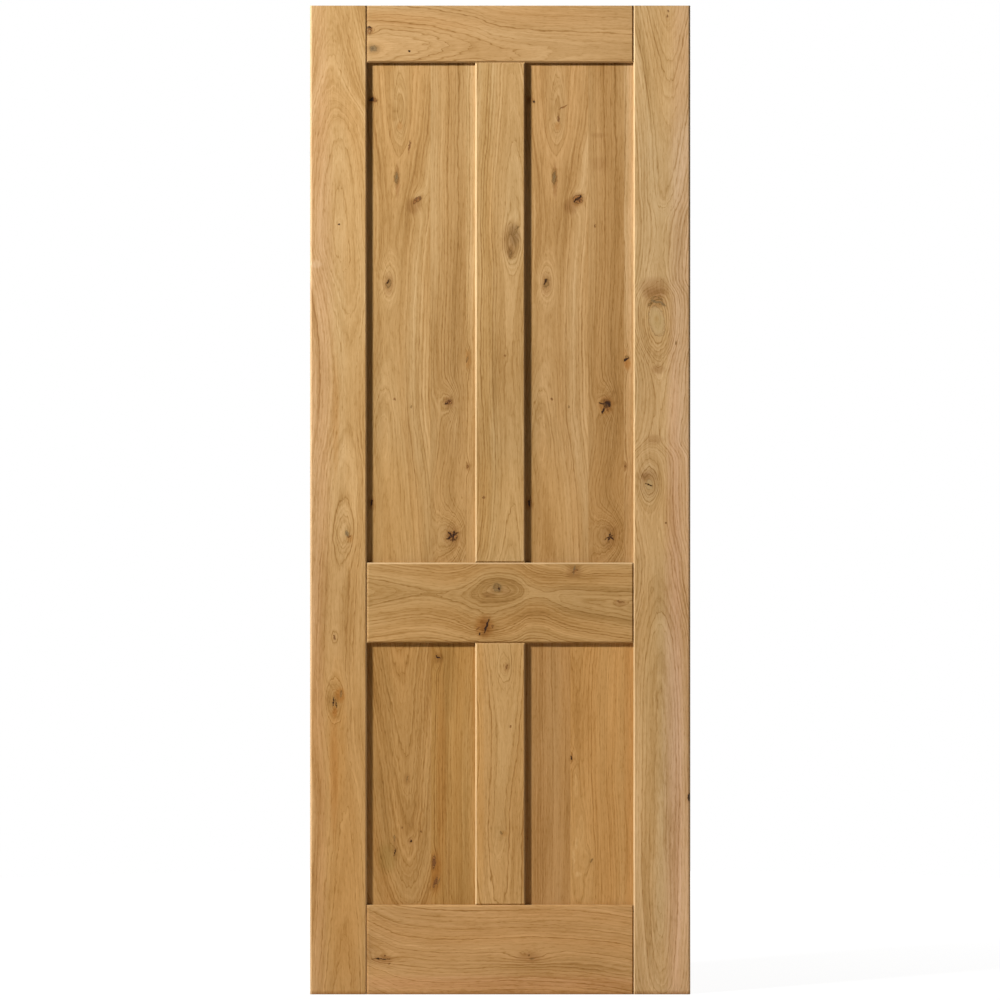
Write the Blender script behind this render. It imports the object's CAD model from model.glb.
# %% [markdown]
# # A knotty oak door leaf
# The leaf is a flat frame of planed oak boards: two stiles, three rails and two muntins, with flat
# panels set back in grooves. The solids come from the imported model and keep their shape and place.
# What is left for Blender is the wood itself, so this lesson is about growing oak out of a few
# fields and curves.

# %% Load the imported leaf
import math
from functools import partial
from types import SimpleNamespace

import bpy
import numpy as np
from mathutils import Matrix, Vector


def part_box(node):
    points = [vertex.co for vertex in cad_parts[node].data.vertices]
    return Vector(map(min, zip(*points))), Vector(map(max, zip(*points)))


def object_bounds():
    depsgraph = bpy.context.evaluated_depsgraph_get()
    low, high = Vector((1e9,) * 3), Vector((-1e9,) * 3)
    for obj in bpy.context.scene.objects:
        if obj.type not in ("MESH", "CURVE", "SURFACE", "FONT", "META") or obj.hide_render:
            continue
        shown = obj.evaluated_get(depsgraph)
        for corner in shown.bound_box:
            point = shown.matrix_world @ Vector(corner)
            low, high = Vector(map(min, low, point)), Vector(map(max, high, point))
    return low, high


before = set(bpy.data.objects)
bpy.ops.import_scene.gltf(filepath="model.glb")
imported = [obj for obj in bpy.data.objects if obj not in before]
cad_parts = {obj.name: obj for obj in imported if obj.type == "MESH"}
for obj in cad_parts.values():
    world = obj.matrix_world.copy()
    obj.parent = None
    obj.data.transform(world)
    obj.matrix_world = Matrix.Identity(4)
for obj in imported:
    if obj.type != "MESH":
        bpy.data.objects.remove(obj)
cad_box = [list(corner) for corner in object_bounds()]
print("boards and dowel sets:", len(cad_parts), "box in metres:", cad_box)

# %% [markdown]
# ## Two helpers
# Colours are written as sRGB hex, as a colour picker shows them, and Blender's sockets want linear
# light, so one function turns one into the other. Node trees grow long when each node takes five
# lines, so one function adds a node of any kind: its settings are named, and each input is a value
# or the socket that feeds it.

# %% Colours and nodes


def linear(code):
    """sRGB hex to linear RGBA: the low end is divided, the rest is a power curve."""
    srgb = np.array([int(code[i : i + 2], 16) for i in (1, 3, 5)]) / 255
    rgb = np.where(srgb <= 0.04045, srgb / 12.92, ((srgb + 0.055) / 1.055) ** 2.4)
    return np.append(rgb, 1.0)


def add(tree, kind, inputs=(), out=0, stops=(), points=(), **settings):
    """Adds one node and returns one of its outputs. Stops fill a colour ramp and points a curve."""
    node = tree.nodes.new("ShaderNode" + kind)
    for name, value in settings.items():
        setattr(node, name, value)
    for key, value in inputs.items() if isinstance(inputs, dict) else enumerate(inputs):
        if isinstance(value, bpy.types.NodeSocket):
            tree.links.new(value, node.inputs[key])
        else:
            node.inputs[key].default_value = value
    for i, (place, colour) in enumerate(stops):
        elements = node.color_ramp.elements
        element = elements[i] if i < 2 else elements.new(place)
        element.position, element.color = place, colour
    for i, point in enumerate(points):
        curve = node.mapping.curves[0].points
        if i < 2:
            curve[i].location = point
        else:
            curve.new(*point)
    if points:
        node.mapping.update()
    return node.outputs[out] if node.outputs else node


print("mid oak in linear light:", linear("#b98f59").round(3))

# %% [markdown]
# ## A board and its measures
# Every board carries its own small set of measures: millimetres across the grain, along it and into
# the thickness. A knot was a branch and runs through the board at a slant, so places on the face
# drift with the depth. Three tools go with these measures: a length that changes along the board,
# cloudy noise with cells of a chosen size, and the distance from a spot.

# %% Measures and tools
MM = 1000
SLANT = (0.2, 0, 0.5)
RAG_MM = 6
LEAST_MM = 0.01
SEED_STEP = (17.3, 5.1, 9.7)


def begin(node, grain, seed):
    """Starts a board: its material, and its places in mm along, across and into the wood."""
    material = bpy.data.materials.new("planed_oak_" + node)
    material.use_nodes = True
    material.node_tree.nodes.clear()
    put = partial(add, material.node_tree)
    b = SimpleNamespace(material=material, put=put, grain=grain, seed=seed)
    low, high = (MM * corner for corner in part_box(node))
    coords = put("TexCoord").node.outputs
    b.turned = put("SeparateXYZ", [coords["Normal"]]).node.outputs
    place = put("VectorMath", [coords["Object"], (MM, MM, MM)], operation="MULTIPLY")
    x, y, z = put("SeparateXYZ", [place]).node.outputs
    b.inside = put("Math", [y, low.y], operation="SUBTRACT")
    b.across, b.along = (z, x) if grain == "X" else (x, z)
    b.start, b.end = (low.x, high.x) if grain == "X" else (low.z, high.z)
    b.wood = put("CombineXYZ", [b.across, b.inside, b.along])
    face = put("CombineXYZ", [x, 0.0, z])
    thick = put("CombineXYZ", [b.inside, b.inside, b.inside])
    b.lean = put("VectorMath", [thick, SLANT, face], operation="MULTIPLY_ADD")
    torn = cells(b, b.lean, (RAG_MM, RAG_MM, RAG_MM), 2, "Color")
    centred = put("VectorMath", [b.lean, (RAG_MM / 2, 0, RAG_MM / 2)], operation="SUBTRACT")
    b.ragged = put("VectorMath", [torn, (RAG_MM, 0, RAG_MM), centred], operation="MULTIPLY_ADD")
    return b


def lane(b, marks, ahead=0):
    """A length that changes smoothly along the board, from pairs of place and length in mm."""
    values = [value for _, value in marks]
    span = max(max(values) - min(values), LEAST_MM)
    long = b.end - b.start
    points = [((p - b.start) / long, (v - min(values)) / span) for p, v in sorted(marks)]
    where = b.put("MapRange", [b.along, b.start - ahead, b.end - ahead, 0.0, 1.0])
    curve = b.put("FloatCurve", {"Value": where}, points=points)
    return b.put("Math", [curve, span, min(values)], operation="MULTIPLY_ADD")


def cells(b, where, sizes, detail, out=0):
    """Cloudy noise whose cells have these sizes in mm, shifted by the board's seed."""
    fine = [1 / size for size in sizes]
    shift = [b.seed * step for step in SEED_STEP]
    scaled = b.put("VectorMath", [where, fine, shift], operation="MULTIPLY_ADD")
    return b.put("TexNoise", {"Vector": scaled, "Scale": 1.0, "Detail": float(detail)}, out=out)


def spot(b, plane, x0, z0, rx, rz, turn=0):
    """The way from a spot's middle, 1 long on an ellipse with these half sizes, and its square."""
    where = [plane, (x0, 0, z0), (0, math.radians(turn), 0), (rx, 1, rz)]
    way = b.put("Mapping", where, vector_type="TEXTURE")
    return way, b.put("VectorMath", [way, way], out="Value", operation="DOT_PRODUCT")


stile_box = [[round(c, 4) for c in corner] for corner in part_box("left_stile")]
print("box of the left stile in metres:", stile_box)

# %% [markdown]
# ## How a board grows
# A tree lays down a ring a year round its pith. A board is a flat cut through those rings, so the
# lines on its face are level lines of one field: the distance from the pith, which wanders along the
# board and leans in or out of it. Where it leans, the lines close into the arches called cathedrals.
# A knot pushes the rings apart, so it is a bump or a dip added to the same field. Painting lines
# would be quicker, but a field also gives matching lines on edges and ends, because it is worked out
# through the whole board.

# %% The ring field
SWAY_MM = 9
SWELL_MM = 5
SWAY_CELL_MM = (110, 110, 420)
TOOTH_CELL_MM = (6, 25, 25)
TEETH_AT_KNOTS = 0.15
UNEVEN_YEARS = 4
SEED_YEARS = 7.0
SPRING = 0.45
AHEAD_MM = 20
RAGGED_SLOPE = 0.045
LINE_MM = 1.6


def grow(b, ring, pith, depth, rise, jag, eyes):
    """The field is the distance from the pith, plus a rise along the grain, wander and knots' bumps.

    Over the ring width it counts the years. The distance to a year's edge, divided by the slope of
    the field on the face, is a distance in mm, so every line can be drawn equally wide.
    """
    put = b.put
    b.ring = ring
    b.lift = 0.0
    tilt = (0, 0, 0)
    for x0, z0, rx, rz, height in eyes:
        way, far = spot(b, b.lean, x0, z0, rx, rz)
        bump = put("Math", [put("Math", [far, -1.0], operation="MULTIPLY")], operation="EXPONENT")
        b.lift = put("Math", [bump, float(height), b.lift], operation="MULTIPLY_ADD")
        steepest = (-2 * height / rx, 0, -2 * height / rz)
        fall = put("VectorMath", [way, steepest], operation="MULTIPLY")
        tilt = put("VectorMath", [fall, bump, tilt], operation="MULTIPLY_ADD")
    b.near_knot = put("Math", [b.lift], operation="ABSOLUTE")

    wander = cells(b, b.wood, SWAY_CELL_MM, 3, "Color")
    sway, swell, _ = put("SeparateXYZ", [wander]).node.outputs
    b.swayed = put("Math", [sway, 2.0 * SWAY_MM, b.across], operation="MULTIPLY_ADD")
    middle = put("Math", [lane(b, pith), float(SWAY_MM)], operation="ADD")
    offset = put("Math", [b.swayed, middle], operation="SUBTRACT")
    behind = put("Math", [b.inside, float(depth)], operation="ADD")
    spoke = put("CombineXYZ", [offset, behind, 0.0])
    radius = put("VectorMath", [spoke], out="Value", operation="LENGTH")
    climb = lane(b, rise)
    field = put("Math", [radius, climb], operation="ADD")
    field = put("Math", [swell, 2.0 * SWELL_MM, field], operation="MULTIPLY_ADD")
    teeth = put("Math", [b.near_knot, TEETH_AT_KNOTS, 2.0 * jag], operation="MULTIPLY_ADD")
    torn = cells(b, b.wood, TOOTH_CELL_MM, 1)
    field = put("Math", [torn, teeth, field], operation="MULTIPLY_ADD")
    b.field = put("Math", [field, b.lift], operation="ADD")

    count = put("Math", [b.field, 1 / (UNEVEN_YEARS * ring)], operation="MULTIPLY")
    uneven = put("TexNoise", {"W": count, "Scale": 1.0}, noise_dimensions="1D")
    years = put("Math", [b.field, 1 / ring, uneven], operation="MULTIPLY_ADD")
    year = put("Math", [years], operation="ROUND")
    year = put("Math", [year, SEED_YEARS * b.seed], operation="ADD")
    b.weight = put("TexWhiteNoise", {"W": year}, noise_dimensions="1D")
    season = put("Math", [years], operation="FRACT")
    fade = [season, 0.0, SPRING, 1.0, 0.0]
    b.spring = put("MapRange", fade, interpolation_type="SMOOTHSTEP")

    step = put("Math", [lane(b, rise, AHEAD_MM), climb], operation="SUBTRACT")
    steep = put("Math", [step, 1 / AHEAD_MM], operation="MULTIPLY")
    sideways = put("Math", [offset, radius], operation="DIVIDE")
    uphill = [steep, 0.0, sideways] if b.grain == "X" else [sideways, 0.0, steep]
    uphill = put("VectorMath", [put("CombineXYZ", uphill), tilt], operation="ADD")
    slope = put("VectorMath", [uphill], out="Value", operation="LENGTH")
    # A ragged edge is steeper than the smooth field says, the more the jag.
    slope = put("Math", [slope, RAGGED_SLOPE * jag], operation="MAXIMUM")
    near = put("Math", [years, 0.5], operation="PINGPONG")
    near = put("Math", [near, float(ring)], operation="MULTIPLY")
    gap = put("Math", [near, slope], operation="DIVIDE")
    b.line = put("MapRange", [gap, 0.0, LINE_MM, 1.0, 0.0], interpolation_type="SMOOTHSTEP")


print("a yearly line is drawn", LINE_MM, "mm to each side of its edge")

# %% [markdown]
# ## From years to colour
# Lightness is a sum: broad bands and fine streaks that follow the field, fibres that follow the
# board, slow clouds, and the yearly lines and pores taken off. One ramp round the board's tone turns
# it into colour, and a slow drift between a warm and a cool filter keeps the tone from looking
# printed.

# %% Lightness
BAND_MM = (15, 600, 1)
STREAK_RINGS = 0.45
STREAK_MM = 300
FIBRE_MM = (1.9, 45, 8)
CLOUD_MM = (80, 80, 300)
# Real pores are a third of a millimetre wide. Drawn six times as wide, they just show.
PORE_MM = (2.0, 12, 4)
PORE_EDGE = (0.52, 0.70)
STREAKS = 0.6
FIBRES = 0.48
CLOUDS = 0.5
PORES = 0.13
KNOT_PUSH = 0.6
FAINTEST = 0.22
BOLDER_AT_KNOTS = 0.012
BOLDER_YEARS = 0.8
IN_PORES = 0.35
OFF_PORES = 0.8
SPRING_SHADE = 0.35
MID_LEVEL = 0.52
LINE_LIFT = 0.1


def figure(b, lines, bands):
    """Bands, streaks, fibres and clouds added up, less the yearly lines and the pores."""
    put = b.put
    b.flow = put("CombineXYZ", [b.field, b.along, 0.0])
    pushed = put("Math", [b.lift, KNOT_PUSH, b.swayed], operation="MULTIPLY_ADD")
    strand = put("CombineXYZ", [pushed, b.along, b.inside])
    pore = put("MapRange", [cells(b, strand, PORE_MM, 1), *PORE_EDGE, 0.0, 1.0])
    bold = put("Math", [b.near_knot, BOLDER_AT_KNOTS, FAINTEST], operation="MULTIPLY_ADD")
    heavy = put("Math", [b.weight, b.weight], operation="MULTIPLY")
    bold = put("Math", [heavy, BOLDER_YEARS, bold], operation="MULTIPLY_ADD")
    broken = put("Math", [pore, IN_PORES, OFF_PORES], operation="MULTIPLY_ADD")
    crisp = put("Math", [b.line, broken], operation="MULTIPLY")
    drawn = put("Math", [b.spring, SPRING_SHADE, crisp], operation="MULTIPLY_ADD")
    drawn = put("Math", [drawn, bold], operation="MULTIPLY")
    parts = [
        (cells(b, b.flow, BAND_MM, 3), bands),
        (cells(b, b.flow, (STREAK_RINGS * b.ring, STREAK_MM, 1), 2), STREAKS),
        (cells(b, strand, FIBRE_MM, 2), FIBRES),
        (cells(b, b.wood, CLOUD_MM, 2), CLOUDS),
    ]
    level = MID_LEVEL - 0.5 * sum(amount for _, amount in parts) + LINE_LIFT * lines
    for pattern, amount in [*parts, (drawn, -lines), (pore, -PORES)]:
        level = put("Math", [pattern, amount, level], operation="MULTIPLY_ADD")
    b.level = level


print("fibres are drawn", FIBRE_MM[0], "mm wide and pores", PORE_MM[0], "mm")

# %% Tone
DARK_LINE = np.array([0.58, 0.48, 0.34, 1])
DARK = np.array([0.82, 0.77, 0.66, 1])
LIGHT = np.array([1.15, 1.20, 1.33, 1])
PALE = np.array([1.36, 1.48, 1.80, 1])
WARM = "#bdbcbd"
COOL = "#bbbec4"
DRIFT_MM = (40, 900, 1)


def tint(b, tone):
    """A ramp round the tone, from the dark lines to the palest wood, times the slow drift."""
    mid = linear(tone)
    dark = [(0.0, mid * DARK_LINE), (0.3, mid * DARK)]
    light = [(0.7, mid * LIGHT), (1.0, mid * PALE)]
    ramp = b.put("ValToRGB", [b.level], stops=[*dark, (0.5, mid), *light])
    filters = [(0.35, 2 * linear(WARM)), (0.65, 2 * linear(COOL))]
    drift = b.put("ValToRGB", [cells(b, b.flow, DRIFT_MM, 1)], stops=filters)
    layers = {0: 1.0, 6: ramp, 7: drift}
    return b.put("Mix", layers, out=2, data_type="RGBA", blend_type="MULTIPLY")


sample = linear("#b18c59")
print("tones from", (sample * DARK_LINE).round(3), "to", (sample * PALE).round(3))

# %% [markdown]
# ## Stains and knots
# A stain is a filter that multiplies the wood under it, so the lines still show through; the grey
# #bcbcbc would change nothing. A knot is painted from its middle outwards through a ramp. Its outline
# is torn by noise, and a second, finer noise crumbles its rings into each other, as bark and resin do.

# %% Filters and knots
PINK = "#bdb6be"
ROSE = "#bfbdc7"
GOLD = "#beb7a8"
RUST = "#af9c7f"
UMBER = "#958573"
SLATE = "#979595"
BLEACH = "#c8cfde"
SHADE = "#aeaca6"
MOSS = "#a9aca0"

# From the middle outwards: place (a quarter is the rim, 1 twice the radius), colour and cover.
KNOTS = {
    "black": [(0.0, "#2b1a12", 1.0), (0.14, "#35200f", 1.0), (0.24, "#4f3218", 0.85),
              (0.34, "#7d5429", 0.45), (0.62, "#8a6030", 0.15), (1.0, "#8a6030", 0.0)],
    "mixed": [(0.0, "#7a4f2a", 0.95), (0.08, "#372112", 1.0), (0.16, "#a06c3a", 0.9),
              (0.25, "#3c2412", 0.9), (0.36, "#80592d", 0.45), (1.0, "#8f6434", 0.0)],
    "olive": [(0.0, "#8c6c40", 0.85), (0.14, "#7a5a32", 0.85), (0.25, "#553a1c", 0.75),
              (0.38, "#8a683a", 0.35), (1.0, "#94713f", 0.0)],
    "slate": [(0.0, "#5c4c36", 0.8), (0.12, "#7a6848", 0.65), (0.24, "#514029", 0.65),
              (0.40, "#8a7048", 0.3), (1.0, "#94774a", 0.0)],
    "brown": [(0.0, "#8a5c30", 0.9), (0.10, "#6b4220", 0.9), (0.20, "#4a2c15", 0.85),
              (0.32, "#7d5429", 0.5), (0.60, "#8f6434", 0.2), (1.0, "#8f6434", 0.0)],
    "pale": [(0.0, "#a8905f", 0.5), (0.15, "#b1966a", 0.6), (0.225, "#ae9163", 0.5),
             (0.255, "#785c3c", 0.65), (0.30, "#a5844f", 0.25), (1.0, "#a8834f", 0.0)],
}
print("kinds of knot:", ", ".join(KNOTS))

# %% Laying them on the wood
STAIN_EDGE = 1.8
CRUMB_MM = 4
CRUMBLE = 0.8


def mark(b, colour, stains, knots):
    """Lays the stains on the wood as filters, then the knots as ramps over their torn ellipses."""
    put = b.put
    for x0, z0, rx, rz, code, strength in stains:
        _, far = spot(b, b.ragged, x0, z0, rx, rz)
        fade = [far, 0.0, STAIN_EDGE, strength, 0.0]
        amount = put("MapRange", fade, interpolation_type="SMOOTHSTEP")
        layers = {0: amount, 6: colour, 7: 2 * linear(code)}
        colour = put("Mix", layers, out=2, data_type="RGBA", blend_type="MULTIPLY")
    crumb = cells(b, b.lean, (CRUMB_MM, CRUMB_MM, CRUMB_MM), 1)
    for x0, z0, rx, rz, turn, kind in knots:
        _, far = spot(b, b.ragged, x0, z0, 2 * rx, 2 * rz, turn)
        rough = CRUMBLE * min(1, CRUMB_MM / math.sqrt(rx * rz))
        far = put("Math", [far, rough / 2], operation="SUBTRACT")
        far = put("Math", [crumb, rough, far], operation="MULTIPLY_ADD")
        rings = [(at, [*linear(code)[:3], cover]) for at, code, cover in KNOTS[kind]]
        target = put("ValToRGB", [far], stops=rings).node.outputs
        layers = {0: target["Alpha"], 6: colour, 7: target["Color"]}
        colour = put("Mix", layers, out=2, data_type="RGBA")
    return colour


print("knots crumble in bits of", CRUMB_MM, "mm")

# %% [markdown]
# ## Worn edges and a matt finish
# Hands and dusters rub the corners first, so sloping faces, which here are the chamfers and eased
# arrises, get paler, least of all where they face down or cut across the grain. Cut ends drink more
# finish and go darker. The finish is a thin matt lacquer: hardly any gloss, a little rougher on the
# dark lines than between them.

# %% Wear and lacquer
WORN = "#ead2aa"
END_GRAIN = "#9c978c"
SLOPING = (0.06, 0.25)
WEAR_ACROSS = 0.2
FACING_DOWN = -0.6
CUT_EDGE = (0.2, 0.5)
RELIEF_M = 0.0004
RELIEF = 0.25
ROUGH_LINES = 0.66
ROUGH_WOOD = 0.52
LACQUER_IOR = 1.5
GLOSS = 0.12


def lacquer(b, colour, wear, soak):
    """Wears the sloping faces, darkens the cut ends and shades the board."""
    put = b.put
    cut = b.turned["X" if b.grain == "X" else "Z"]
    cut = put("Math", [cut, cut], operation="MULTIPLY")
    square = put("Math", [b.turned["Y"], b.turned["Y"]], operation="MULTIPLY")
    rest = put("Math", [1.0, square], operation="SUBTRACT")
    slope = put("Math", [square, rest], operation="MULTIPLY")
    rubbed = put("MapRange", [slope, *SLOPING, 0.0, wear])
    lengthwise = put("MapRange", [cut, 0.0, 0.5, 1.0, WEAR_ACROSS])
    rubbed = put("Math", [rubbed, lengthwise], operation="MULTIPLY")
    upward = put("MapRange", [b.turned["Z"], FACING_DOWN, 0.0, 0.0, 1.0])
    rubbed = put("Math", [rubbed, upward], operation="MULTIPLY")
    colour = put("Mix", {0: rubbed, 6: colour, 7: linear(WORN)}, out=2, data_type="RGBA")
    soaked = put("MapRange", [cut, *CUT_EDGE, 0.0, soak])
    layers = {0: soaked, 6: colour, 7: 2 * linear(END_GRAIN)}
    colour = put("Mix", layers, out=2, data_type="RGBA", blend_type="MULTIPLY")
    relief = put("Bump", {"Strength": RELIEF, "Distance": RELIEF_M, "Height": b.level})
    rough = put("MapRange", [b.level, 0.2, 0.8, ROUGH_LINES, ROUGH_WOOD])
    finish = {"Base Color": colour, "Roughness": rough, "Normal": relief}
    finish |= {"IOR": LACQUER_IOR, "Specular IOR Level": GLOSS}
    put("OutputMaterial", [put("BsdfPrincipled", finish)])


print("worn edges go towards", WORN)

# %% The oak material


def oak(node, tone, grain="Z", ring=5.5, pith=(), depth=28, rise=(), jag=1.8, lines=0.45, bands=0.9,
        eyes=(), stains=(), knots=(), wear=0.4, soak=0.3, seed=0):
    """Planed oak for one board, grown, toned, marked and lacquered."""
    b = begin(node, grain, seed)
    grow(b, ring, pith, depth, rise, jag, eyes)
    figure(b, lines, bands)
    lacquer(b, mark(b, tint(b, tone), stains, knots), wear, soak)
    return b.material


print("planed oak is grown, toned, marked and lacquered for each board on its own")

# %% [markdown]
# ## The boards of the frame
# Each board was cut from another part of a tree, so each has its own tone, its own pith line and
# its own knots. Places are millimetres on the leaf: across from the middle, and up from the foot.
# An eye is a knot's push on the rings, with a negative height where the knot stands on the pith
# line and closes the rings into ovals. The rows read as follows.
# - pith and rise: place along the grain, and length
# - eyes: middle, half sizes and height
# - stains: middle, half sizes, filter and strength
# - knots: middle, half sizes, turn in degrees and kind

# %% The stiles
LOOKS = {}
LOOKS["left_stile"] = dict(
    tone="#b18c59", seed=1, jag=2.6, lines=0.28, bands=0.95,
    pith=[(0, -318), (351, -311), (585, -332), (1000, -312), (1343, -303), (1542, -322),
          (1724, -324), (1810, -335), (1981, -341)],
    rise=[(0, -12), (211, -3), (351, 4), (450, 10), (1000, 10), (1030, 11), (1190, 26), (1250, 25),
          (1343, 17), (1399, 10), (1480, 1), (1500, 0), (1844, 55), (1981, 77)],
    eyes=[(-311, 926, 22, 46, -24), (-331, 588, 19, 38, -28), (-332, 715, 9, 17, -8),
          (-323, 1542, 5, 10, -4)],
    stains=[(-374, 1350, 36, 700, ROSE, 1.0), (-372, 300, 22, 500, PINK, 0.5),
            (-290, 1300, 22, 700, GOLD, 0.3), (-324, 300, 300, 360, GOLD, 0.5),
            (-333, 440, 9, 120, RUST, 0.45), (-329, 1150, 7, 110, RUST, 0.35),
            (-369, 1463, 11, 8, BLEACH, 1.0), (-306, 922, 10, 18, SHADE, 0.9),
            (-301, 914, 7, 8, RUST, 0.6), (-321, 600, 10, 14, RUST, 0.9),
            (-331, 566, 5, 10, RUST, 0.8), (-332, 585, 11, 20, SHADE, 0.8),
            (-324, -4, 300, 10, UMBER, 0.8), (-324, 100, 400, 700, SHADE, 0.6),
            (-326, 520, 18, 130, GOLD, 0.6), (-310, 220, 34, 240, GOLD, 0.5),
            (-372, 1000, 12, 300, BLEACH, 0.25), (-376, 200, 14, 260, BLEACH, 0.3)],
    knots=[(-307, 923, 3, 5.5, -15, "slate"), (-303, 917, 3, 1.6, -30, "brown"),
           (-332, 715, 2, 4, 0, "brown"), (-334, 587, 1.3, 8, 6, "black"),
           (-329, 584, 1.2, 7, -8, "black"), (-319, 602, 2, 6, 0, "olive"),
           (-323, 1542, 1.8, 2, 0, "black")],
)
LOOKS["right_stile"] = dict(
    tone="#b39161", depth=26, seed=2, lines=0.48, bands=0.75, wear=0.2,
    pith=[(0, 322), (200, 320), (600, 322), (858, 316), (1021, 300), (1230, 322), (1355, 314),
          (1500, 322), (1798, 337), (1981, 337)],
    rise=[(0, 26), (100, 12), (260, 6), (500, 6), (700, 14), (900, 38), (1060, 38), (1125, 62),
          (1231, 62), (1310, 46), (1380, 40), (1440, 58), (1520, 58), (1600, 48), (1700, 40),
          (1798, 29), (1981, 0)],
    eyes=[(316, 1345, 34, 80, -30), (310, 1412, 18, 24, 12), (299, 1021, 24, 36, -34),
          (302, 814, 8, 18, -8), (320, 160, 15, 95, -13)],
    stains=[(370, 990, 30, 1500, ROSE, 1.0), (313, 1354, 5, 6, RUST, 0.6),
            (309, 1415, 29, 21, UMBER, 0.6), (309, 1402, 20, 14, UMBER, 0.45),
            (312, 1385, 20, 10, UMBER, 0.7), (298, 1021, 18, 26, UMBER, 0.35),
            (324, -4, 300, 10, UMBER, 0.8), (324, 250, 400, 360, BLEACH, 0.35),
            (310, 960, 40, 90, GOLD, 0.3), (296, 500, 24, 330, GOLD, 0.6),
            (324, 1870, 60, 150, GOLD, 0.4), (346, 560, 18, 700, ROSE, 0.9),
            (362, 1470, 22, 260, BLEACH, 0.35), (317, 1252, 14, 9, UMBER, 0.45),
            (309, 1112, 18, 9, UMBER, 0.35), (297, 1040, 20, 14, UMBER, 0.4),
            (291, 1037, 9, 8, UMBER, 0.6)],
    knots=[(314, 1349, 15, 30, -12, "pale"), (300, 1383, 5, 2.2, -40, "olive"),
           (326, 1383, 6, 2.0, 35, "slate"), (311, 1388, 8, 1.8, 8, "slate"),
           (306, 1396, 5, 1.6, -20, "olive"), (321, 1394, 5, 1.6, 25, "olive"),
           (352, 1305, 1.3, 3.5, 0, "olive"), (298, 1021, 7.5, 10, 0, "pale"),
           (298, 1021, 6, 1.3, 20, "black"), (332, 944, 1.3, 1.6, 0, "brown"),
           (379, 395, 3.5, 7, 0, "black"), (336, 1970, 1.6, 2, 0, "brown"),
           (335, 1960, 1.6, 2.5, 0, "brown")],
)
print("stiles:", len(LOOKS))

# %% The rails
LOOKS["top_rail"] = dict(
    tone="#a98453", grain="X", depth=40, seed=23, jag=2.4, lines=0.5, bands=0.5, soak=0.8,
    pith=[(-267, 1897), (-105, 1901), (-58, 1899), (30, 1884), (92, 1886), (144, 1892),
          (267, 1890)],
    rise=[(-267, -6), (-153, 5), (-105, 11), (-58, 16), (30, 22), (92, 27), (144, 33), (267, 35)],
    eyes=[(-262, 1931, 16, 9, 12), (-253, 1894, 22, 12, -7)],
    stains=[(-60, 1955, 300, 22, RUST, 0.22), (-262, 1931, 9, 7, RUST, 0.5),
            (-253, 1894, 13, 9, SLATE, 0.6)],
    knots=[(-262, 1930, 4.5, 5, 0, "mixed"), (-262, 1937, 5, 1.8, 10, "black"),
           (-261, 1929, 1.6, 2, 0, "pale"), (-254, 1895, 7, 5, 0, "slate"),
           (-182, 1890, 2, 2, 0, "black")],
)
LOOKS["lock_rail"] = dict(
    tone="#a8824e", grain="X", depth=16, seed=4, jag=2.0, lines=0.42, bands=1.1, wear=0.3, soak=0.25,
    pith=[(-267, 806), (-167, 807), (-96, 801), (-5, 811), (80, 802), (104, 797), (150, 790),
          (267, 777)],
    rise=[(-267, 8), (-223, 14), (-167, 21), (-130, 23), (-96, 21), (-50, 11), (-5, 3), (40, 10),
          (88, 23), (104, 21), (138, 15), (236, 9), (267, 7)],
    eyes=[(-5, 813, 30, 20, -14), (149, 850, 24, 14, 12), (-30, 738, 58, 38, -22),
          (245, 784, 14, 8, 6)],
    stains=[(-5, 813, 34, 17, SHADE, 0.5), (-22, 800, 14, 6, UMBER, 0.5),
            (16, 804, 12, 6, UMBER, 0.35), (-4, 811, 20, 9, UMBER, 0.4),
            (-28, 737, 26, 22, SHADE, 0.9), (149, 847, 16, 12, UMBER, 0.6),
            (-32, 738, 18, 22, RUST, 0.8), (-30, 738, 9, 20, UMBER, 0.6),
            (242, 784, 14, 8, UMBER, 0.5), (150, 770, 200, 20, SHADE, 0.3),
            (130, 800, 44, 40, BLEACH, 0.15)],
    knots=[(-6, 815, 7, 7.5, -15, "slate"), (-7, 817, 4, 4.5, -15, "olive"),
           (-3, 812, 2, 2.2, 0, "black"), (148, 850, 1.8, 7, 6, "slate"),
           (150, 848, 6, 1.4, -30, "brown"), (-27, 738, 2.3, 15, 18, "black"),
           (-41, 722, 1.9, 2, 0, "black"), (-44, 734, 5, 1.4, -40, "brown"),
           (-16, 737, 2, 3, 0, "brown"), (240, 786, 6, 1.2, 10, "brown")],
)
LOOKS["bottom_rail"] = dict(
    tone="#b28955", grain="X", ring=7.0, depth=40, seed=5, jag=2.4, lines=0.46, bands=0.4,
    wear=0.0, soak=0.25,
    pith=[(-267, -22), (-230, -40), (-180, -56), (-100, -62), (100, -60), (267, -78)],
    rise=[(-267, 0), (267, 1)],
    eyes=[(58, 75, 50, 15, 15), (-239, 71, 30, 13, 16)],
    stains=[(0, 22, 400, 16, PINK, 0.6), (58, 75, 24, 10, UMBER, 0.45),
            (-236, 70, 20, 9, UMBER, 0.5), (-262, 90, 18, 30, SHADE, 0.6),
            (-266, 88, 10, 26, UMBER, 0.3), (0, -4, 900, 10, UMBER, 0.8)],
    knots=[(-238, 71, 16, 1.3, 2, "black"), (-223, 62, 2, 1.6, 0, "brown"),
           (-230, 78, 2, 1.6, 0, "brown"), (58, 79, 1.8, 1.6, 0, "brown"),
           (62, 72, 5, 1.2, 5, "olive")],
)
print("stiles and rails:", len(LOOKS))

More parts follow.
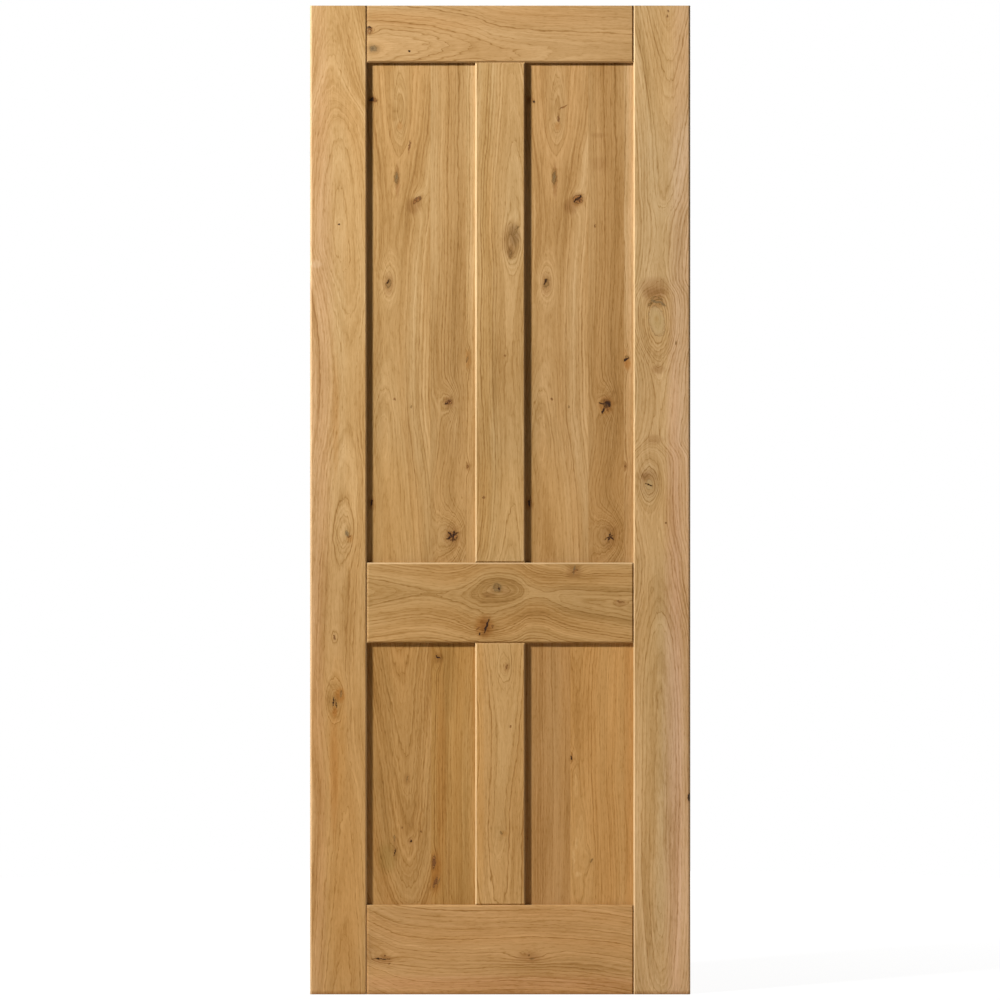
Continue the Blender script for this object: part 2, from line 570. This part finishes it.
# %% The muntins
LOOKS["upper_muntin"] = dict(
    tone="#ad8a58", depth=20, seed=6, wear=0.3,
    pith=[(853, 10), (1000, 26), (1300, 18), (1505, 24), (1700, 26), (1879, 22)],
    rise=[(853, 0), (960, 14), (1100, 18), (1400, 18), (1600, 8), (1700, 14), (1879, 30)],
    eyes=[(24, 1506, 18, 42, -20), (30, 1526, 9, 20, 12), (9, 1279, 5, 12, 4)],
    stains=[(22, 1512, 18, 34, UMBER, 0.55), (29, 1522, 11, 22, SLATE, 0.7),
            (21, 1487, 6, 13, UMBER, 0.7), (-30, 1400, 14, 600, GOLD, 0.5),
            (0, 960, 90, 110, GOLD, 0.5)],
    knots=[(21, 1484, 2.2, 7, 8, "olive"), (32, 1530, 2.4, 9, 30, "olive"),
           (9, 1279, 1.2, 1.4, 0, "brown"), (-33, 995, 1.6, 2, 0, "brown")],
)
LOOKS["lower_muntin"] = dict(
    tone="#b38c56", depth=20, seed=7, jag=2.4, bands=0.35, wear=0.3,
    pith=[(167, 5), (324, -2), (537, 10), (716, 8)],
    rise=[(167, 20), (260, 14), (400, 12), (537, 6), (716, -6)],
    eyes=[(8, 656, 14, 26, -14), (-2, 324, 13, 30, -8)],
    stains=[(13, 656, 6, 9, UMBER, 0.5), (-2, 324, 9, 14, SHADE, 0.5),
            (-40, 440, 8, 300, GOLD, 0.6), (8, 322, 7, 6, RUST, 0.4),
            (0, 200, 90, 110, BLEACH, 0.12)],
    knots=[(13, 656, 1.6, 4, 20, "brown"), (21, 537, 1.6, 2, 0, "brown"),
           (2, 324, 1.6, 3, -30, "olive")],
)
print("boards of the frame:", len(LOOKS))

# %% [markdown]
# ## The panels
# The panels are glued up from narrower boards. Both upper panels were sliced from the same log, one
# sheet after the other, so they carry the same knots one panel further along: the trade calls that
# slip matching. One list therefore serves both, moved by the distance from one panel to the next,
# and each side adds the few marks that changed between the two slices.

# %% The boards of an upper panel
STAVE_1 = dict(
    ring=6.0, depth=30, seed=8, lines=0.24,
    pith=[(853, -222), (1131, -224), (1428, -218), (1640, -208), (1877, -204)],
    rise=[(853, 0), (984, 6), (1100, 18), (1200, 28), (1428, 30), (1640, 22), (1740, 10),
          (1877, 0)],
    eyes=[(-224, 1428, 18, 40, -30), (-166, 1590, 16, 24, 14), (-208, 1636, 9, 26, -10),
          (-200, 1772, 15, 62, -30), (-240, 1140, 30, 100, -30), (-258, 984, 8, 18, 8),
          (-256, 1793, 8, 18, 8)],
    stains=[(-224, 1424, 11, 22, UMBER, 0.5), (-174, 1580, 14, 16, UMBER, 0.65),
            (-206, 1632, 5, 34, UMBER, 0.75), (-190, 1640, 12, 40, SHADE, 0.4),
            (-201, 1740, 6, 9, RUST, 0.5), (-258, 984, 8, 14, UMBER, 0.6),
            (-256, 1793, 7, 9, UMBER, 0.6), (-190, 1560, 26, 40, SHADE, 0.35),
            (-172, 1240, 22, 240, BLEACH, 0.45), (-230, 960, 70, 130, GOLD, 0.5),
            (-147, 1300, 6, 700, BLEACH, 0.12), (-252, 1090, 18, 300, SHADE, 1.0)],
    knots=[(-224, 1425, 5, 8.5, 12, "olive"), (-225, 1428, 2.2, 5, 25, "black"),
           (-208, 1637, 3.6, 12, 4, "olive"), (-208, 1638, 1.6, 7, 8, "slate"),
           (-212, 1193, 1.8, 2, 0, "brown"), (-178, 1177, 1.6, 1.8, 0, "olive"),
           (-258, 984, 2.4, 6, 0, "black")],
)
STAVE_2 = dict(
    ring=5.0, depth=30, seed=9, lines=0.28,
    pith=[(853, -60), (985, -66), (1125, -52), (1210, -62), (1500, -58), (1877, -62)],
    rise=[(853, 0), (1877, 8)],
    eyes=[(-103, 1186, 18, 32, 28), (-98, 918, 30, 48, 46)],
    stains=[(-105, 1080, 14, 420, SHADE, 0.3), (-84, 1560, 18, 420, SHADE, 0.5),
            (-103, 1186, 11, 15, UMBER, 0.5), (-96, 918, 17, 26, UMBER, 0.4),
            (-136, 1250, 8, 600, SHADE, 0.3), (-100, 960, 60, 120, GOLD, 0.25),
            (-90, 1220, 14, 150, BLEACH, 0.3)],
    knots=[(-103, 1187, 6, 5, 0, "mixed"), (-108, 1184, 4, 1.4, -20, "black")],
)
STAVE_3 = dict(
    ring=4.5, depth=30, seed=10, lines=0.28,
    pith=[(853, -20), (1877, -26)],
    rise=[(853, 0), (1877, 6)],
    eyes=[(-66, 1273, 9, 24, 12), (-65, 1058, 6, 14, 6)],
    stains=[(-56, 1700, 12, 400, BLEACH, 0.4), (-66, 1273, 7, 18, RUST, 0.6),
            (-65, 1058, 5, 9, UMBER, 0.5)],
    knots=[(-65, 1058, 1.8, 2.6, 0, "brown")],
)
STAVES = [STAVE_1, STAVE_2, STAVE_3]
print("boards of an upper panel:", len(STAVES))

# %% Marks that changed between the slices
OWN_KNOTS = {
    "left": [
        [(-166, 1593, 8.5, 4.2, -40, "brown"), (-171, 1588, 2, 5, 40, "brown"),
         (-182, 1700, 1.5, 9, 8, "brown"), (-254, 1793, 7, 3.6, 10, "brown"),
         (-257, 1794, 5, 4.5, 0, "black")],
        [(-96, 918, 9, 8, 0, "mixed"), (-96, 918, 12, 2.4, -30, "black"),
         (-97, 918, 11, 2.2, 50, "black"), (-94, 918, 2.2, 11, 10, "black")],
        [(-66, 1273, 1.8, 6, 20, "olive")],
    ],
    "right": [
        [(156, 1594, 8.5, 8, 0, "mixed"), (159, 1597, 7, 1.8, -40, "black"),
         (151, 1592, 6, 1.6, -50, "black"), (126, 1778, 8, 1.2, -28, "brown"),
         (117, 1757, 1.5, 7, -6, "brown"), (68, 1790, 2.2, 2.6, 0, "black")],
        [(215, 1182, 7.5, 7, -20, "black"), (203, 1184, 6, 1.7, 12, "black"),
         (207, 1171, 1.8, 7, 20, "black"), (216, 1174, 1.6, 5, -10, "brown"),
         (219, 916, 9, 1.7, -25, "black"), (219, 916, 1.7, 10, 14, "black"),
         (224, 914, 6, 1.5, 40, "black"), (190, 1540, 1.6, 2.4, 0, "brown")],
        [(251, 1272, 7, 2.2, -25, "black"), (253, 1278, 4, 2, -10, "olive")],
    ],
}
OWN_STAINS = {
    "left": [[], [], []],
    "right": [
        [(156, 1592, 13, 12, RUST, 0.5)],
        [(212, 1180, 16, 17, RUST, 0.6), (197, 1722, 16, 5, UMBER, 0.3),
         (198, 1664, 18, 14, UMBER, 0.3)],
        [(255, 1281, 6, 8, BLEACH, 0.7), (256, 1262, 6, 12, RUST, 0.7)],
    ],
}
print("knots of their own:", {side: sum(map(len, rows)) for side, rows in OWN_KNOTS.items()})

# %% Both upper panels
SLIP_MM = 316
TONES = {
    "left": ["#ae8854", "#a88452", "#ae8a57"],
    "right": ["#af8855", "#a37d4b", "#ac8756"],
}


def slipped(look, by):
    """The same board with every place across it moved by a distance in mm."""
    marks = ("eyes", "stains", "knots")
    moved = {key: [(at[0] + by, *at[1:]) for at in look[key]] for key in marks}
    moved["pith"] = [(up, over + by) for up, over in look["pith"]]
    return look | moved


for side, by in (("left", 0), ("right", SLIP_MM)):
    for i, stave in enumerate(STAVES):
        look = slipped(stave, by) | {"tone": TONES[side][i]}
        look["knots"] += OWN_KNOTS[side][i]
        look["stains"] += OWN_STAINS[side][i]
        LOOKS[f"upper_{side}_panel_stave_{i + 1}"] = look
print("boards with the upper panels:", len(LOOKS))

# %% The lower panels
LOOKS["lower_left_panel_stave_1"] = dict(
    tone="#a57b44", depth=24, seed=11, jag=3.0, lines=0.4, bands=1.1,
    pith=[(167, -182), (376, -188), (527, -192), (640, -199), (714, -201)],
    rise=[(167, 52), (239, 30), (300, 18), (340, 15), (376, 12), (431, 8), (527, 0), (640, -12),
          (714, -22)],
    eyes=[(-187, 424, 10, 18, -5), (-179, 306, 8, 12, 5), (-211, 282, 8, 14, 8)],
    stains=[(-187, 431, 7, 12, UMBER, 0.4), (-227, 273, 18, 30, MOSS, 0.8),
            (-179, 306, 6, 8, UMBER, 0.5), (-211, 290, 5, 24, UMBER, 0.4),
            (-242, 520, 26, 330, SHADE, 0.9), (-168, 330, 22, 240, BLEACH, 0.18),
            (-146, 540, 12, 260, BLEACH, 0.4), (-175, 240, 50, 80, BLEACH, 0.25)],
    knots=[(-186, 432, 1.4, 5, 15, "olive"), (-179, 306, 2, 3, 0, "black"),
           (-211, 283, 1.2, 6, 8, "black"), (-212, 312, 1.1, 6, 0, "olive"),
           (-158, 326, 1.5, 2, 0, "brown"), (-197, 334, 1.5, 2, 0, "brown")],
)
LOOKS["lower_left_panel_stave_2"] = dict(
    tone="#a47b42", ring=5.0, depth=30, seed=12, lines=0.38, bands=1.1,
    pith=[(167, -20), (400, -28), (714, -24)],
    rise=[(167, 0), (714, 6)],
    eyes=[(-124, 674, 10, 20, 12), (-132, 262, 8, 22, 10), (-131, 221, 6, 18, 8)],
    stains=[(-118, 430, 10, 220, RUST, 0.5), (-124, 674, 8, 10, UMBER, 0.5),
            (-131, 243, 12, 44, RUST, 0.8), (-133, 262, 5, 14, UMBER, 0.5),
            (-131, 221, 6, 18, UMBER, 0.4), (-104, 259, 4, 70, UMBER, 0.4),
            (-104, 640, 18, 90, SHADE, 0.8), (-60, 330, 16, 300, BLEACH, 0.55)],
    knots=[(-125, 675, 4.5, 1.7, 28, "black"), (-133, 264, 3.0, 11, 5, "mixed"),
           (-130, 223, 2.4, 11, 20, "mixed"), (-123, 226, 1.2, 7, 25, "olive")],
)
LOOKS["lower_right_panel_stave_1"] = dict(
    tone="#a77e4b", depth=40, seed=13, jag=1.6, lines=0.26, bands=0.4,
    pith=[(167, 160), (714, 152)],
    rise=[(167, 0), (714, 5)],
    stains=[(75, 440, 14, 400, SHADE, 0.35), (138, 440, 18, 500, GOLD, 0.4)],
)
LOOKS["lower_right_panel_stave_2"] = dict(
    tone="#b3874e", depth=20, seed=14, lines=0.2, bands=0.35,
    pith=[(167, 158), (714, 152)],
    rise=[(167, 12), (300, 6), (473, 9), (714, 0)],
    eyes=[(143, 473, 8, 18, 10), (152, 420, 7, 40, -10), (164, 330, 8, 40, -10),
          (176, 272, 11, 26, -14)],
    stains=[(143, 473, 5, 9, UMBER, 0.6), (152, 470, 7, 60, BLEACH, 0.22),
            (147, 268, 3, 24, BLEACH, 0.9), (156, 240, 6, 5, BLEACH, 0.9),
            (153, 302, 3, 12, BLEACH, 0.8), (182, 264, 6, 8, SHADE, 0.6),
            (258, 440, 10, 400, RUST, 0.25)],
    knots=[(142, 473, 2.0, 4, 0, "black"), (183, 267, 1.6, 4, 30, "olive")],
)
print("boards with all panels:", len(LOOKS))

# %% Put the oak on the boards
for name, look in LOOKS.items():
    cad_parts[name].data.materials[0] = oak(name, **look)
trees = [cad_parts[name].data.materials[0].node_tree for name in LOOKS]
print("oak boards:", len(LOOKS), "shader nodes:", sum(len(tree.nodes) for tree in trees))

# %% [markdown]
# ## The dowels
# The dowels are turned beech, and no one sees them in a glued-up leaf. They still get a wood of their
# own, because the solids can be looked at one by one: a plain pinkish brown with the short dark
# flecks that mark beech.

# %% Turned beech
DOWELS = ("rail_dowels", "muntin_dowels")
FLECK_MM = 2
FLECK_EDGE = (0.45, 0.65)
beech = bpy.data.materials.new("turned_beech")
beech.use_nodes = True
beech.node_tree.nodes.clear()
put = partial(add, beech.node_tree)
place = put("VectorMath", [put("TexCoord", out="Object"), (MM, MM, MM)], operation="MULTIPLY")
fleck = put("TexNoise", {"Vector": place, "Scale": 1 / FLECK_MM, "Detail": 2.0})
marks = put("MapRange", [fleck, *FLECK_EDGE, 0.0, 1.0])
pinkish = put("ValToRGB", [marks], stops=[(0.0, linear("#d3b083")), (1.0, linear("#b98c5f"))])
finish = {"Base Color": pinkish, "Roughness": 0.6, "IOR": 1.5}
put("OutputMaterial", [put("BsdfPrincipled", finish)])
for name in DOWELS:
    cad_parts[name].data.materials[0] = beech
print("dowel sets in beech:", len(DOWELS))

# %% [markdown]
# ## Stage and light
# The leaf stands on a pale floor under one soft lamp, high on the left, close enough that the light
# falls off down the leaf. That slant is what draws the dark band along the left and the head of each
# panel. A second lamp behind lights the other sides. The world is white where it is seen, and hardly
# lights at all.

# %% Floor
FLOOR_R = 3.0


def disc(radius, rings=8, spokes=96):
    """Polar grid: the first parameter is the distance from the middle, the second the turn."""
    radii = np.linspace(0, radius, rings + 1)[1:]
    turns = np.linspace(0, 2 * np.pi, spokes, endpoint=False)
    r, a = np.meshgrid(radii, turns, indexing="ij")
    points = np.stack([r * np.cos(a), r * np.sin(a), np.zeros_like(r)], -1).reshape(-1, 3)
    i, j = np.meshgrid(np.arange(rings - 1), np.arange(spokes), indexing="ij")
    k = (j + 1) % spokes
    corners = [i * spokes + j, (i + 1) * spokes + j, (i + 1) * spokes + k, i * spokes + k]
    quads = np.stack(corners, -1).reshape(-1, 4)
    return points, [*quads.tolist(), list(range(spokes))]


mesh = bpy.data.meshes.new("floor")
points, faces = disc(FLOOR_R)
mesh.from_pydata(points.tolist(), [], faces)
floor = bpy.data.objects.new("floor", mesh)
bpy.context.collection.objects.link(floor)
print("floor faces:", len(faces))


# %% What is seen of floor and world
def seen(put):
    """1 for rays that show a thing, straight, in a gloss or through glass, and 0 for light."""
    path = put("LightPath").node.outputs
    either = put("Math", [path["Is Camera Ray"], path["Is Glossy Ray"]], operation="MAXIMUM")
    return put("Math", [either, path["Is Transmission Ray"]], operation="MAXIMUM")


GLOW = 0.9
FADE_M = (1.3, 2.7)
LIT_PAPER = "#d8c9b4"
SEEN_PAPER = "#606060"
paper = bpy.data.materials.new("matt_white_paper")
paper.use_nodes = True
paper.node_tree.nodes.clear()
put = partial(add, paper.node_tree)
eye = seen(put)
reach = put("VectorMath", [put("TexCoord", out="Object")], out="Value", operation="LENGTH")
# Towards its rim the floor turns as white as the world, so that its edge is lost.
fade = put("MapRange", [reach, *FADE_M, GLOW, 1.0], interpolation_type="SMOOTHSTEP")
strength = put("Math", [eye, fade], operation="MULTIPLY")
glow = put("Emission", {"Color": (1, 1, 1, 1), "Strength": strength})
sheet = put("ValToRGB", [eye], stops=[(0.0, linear(LIT_PAPER)), (1.0, linear(SEEN_PAPER))])
put("OutputMaterial", [put("AddShader", [glow, put("BsdfDiffuse", {"Color": sheet})])])
mesh.materials.append(paper)

FILL = 0.027
FILL_TINT = "#ffdfc0"
world = bpy.data.worlds.new("studio")
bpy.context.scene.world = world
world.use_nodes = True
world.node_tree.nodes.clear()
put = partial(add, world.node_tree)
shades = [(0.0, FILL * linear(FILL_TINT)), (1.0, linear("#ffffff"))]
sky = put("ValToRGB", [seen(put)], stops=shades)
put("OutputWorld", [put("Background", {"Color": sky, "Strength": 1.0})])
print("floor glows", GLOW, "where it is seen; the world lights", FILL)

# %% Lamps


def lamp(name, place, aim, watts, size, spread):
    """A square soft lamp that looks at a point, its light gathered into a spread in degrees."""
    light = bpy.data.lights.new(name, "AREA")
    light.energy, light.size, light.spread = watts, size, math.radians(spread)
    holder = bpy.data.objects.new(name, light)
    holder.location = place
    way = Vector(aim) - holder.location
    holder.rotation_euler = way.to_track_quat("-Z", "Y").to_euler()
    bpy.context.collection.objects.link(holder)


lamp("key_lamp", (-4.5, -3.3, 3.95), aim=(-0.2, 0, 1.9), watts=209, size=0.7, spread=100)
lamp("back_lamp", (2.6, 4.9, 3.4), aim=(0, 0, 1), watts=380, size=1.2, spread=180)

# %% [markdown]
# ## The view
# A door is judged by its straight lines, so it is shown square on. A long lens from far off keeps the
# edges parallel. The lens and the height of the view at the front of the leaf give the distance.

# %% Camera
LENS = 160
SENSOR = 36
VIEW_M = 2.003
EYE_X = -0.0004
EYE_Z = 0.9904
camera = bpy.data.objects.new("camera", bpy.data.cameras.new("camera"))
camera.data.lens, camera.data.sensor_width = LENS, SENSOR
camera.location = (EYE_X, cad_box[0][1] - VIEW_M * LENS / SENSOR, EYE_Z)
camera.rotation_euler = (math.radians(90), 0, 0)
bpy.context.collection.objects.link(camera)
bpy.context.scene.camera = camera
bpy.context.scene.view_settings.view_transform = "Standard"
print("camera stands at", [round(c, 3) for c in camera.location])
